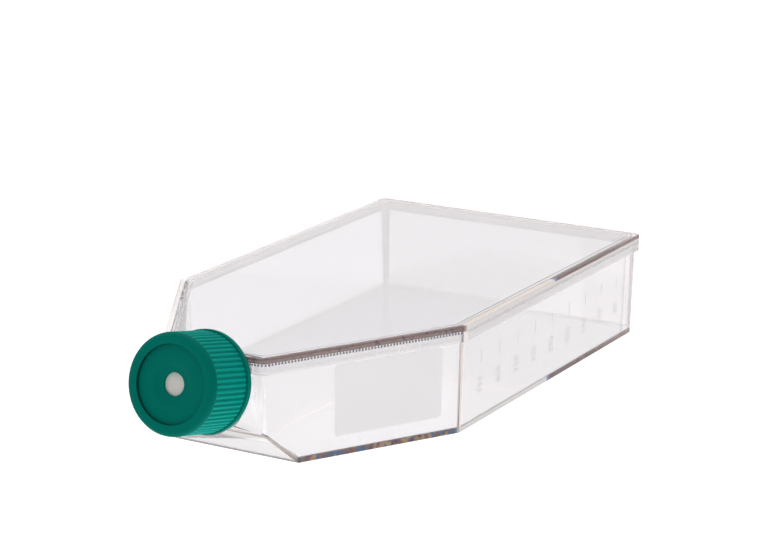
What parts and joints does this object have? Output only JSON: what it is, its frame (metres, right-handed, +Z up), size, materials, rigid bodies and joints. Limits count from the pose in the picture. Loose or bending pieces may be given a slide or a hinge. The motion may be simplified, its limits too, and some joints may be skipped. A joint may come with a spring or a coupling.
{
  "type": "cell culture flask",
  "caption": "Clear rectangular culture flask lying flat, with angled shoulders, canted neck and ribbed screw cap with a vent membrane.",
  "frame": {"origin": "on the resting face, on the plane of symmetry, midway along the body from the front of the rim to its back", "axes": "+Z up from the resting face, +X along the body away from the neck, +Y across the body"},
  "size_m": [0.2283, 0.113, 0.048],
  "materials": {
    "clear_polystyrene": "polished, water-clear moulded plastic",
    "green_polyethylene": "satin moulded plastic",
    "white_membrane": "matte filter membrane"
  },
  "bodies": {
    "flask": {"flask_body": "clear_polystyrene", "top_plate": "clear_polystyrene"},
    "vent": {"vent_membrane": "white_membrane"},
    "cap": {"cap_shell": "green_polyethylene"}
  },
  "joints": [
    {"name": "cap_rise", "type": "slide", "parent": "flask", "child": "vent", "axis": [-0.9736, 0, 0.2284], "range_m": [0, 0.0205]},
    {"name": "cap_turn", "type": "hinge", "parent": "vent", "child": "cap", "pos_m": [-0.121, 0, 0.0318], "axis": [-0.9736, 0, 0.2284], "range_deg": [0, 1800]}
  ],
  "couplings": [
    {"joint": "cap_rise", "follows": "cap_turn", "m_per_rad": 0.00063662}
  ]
}
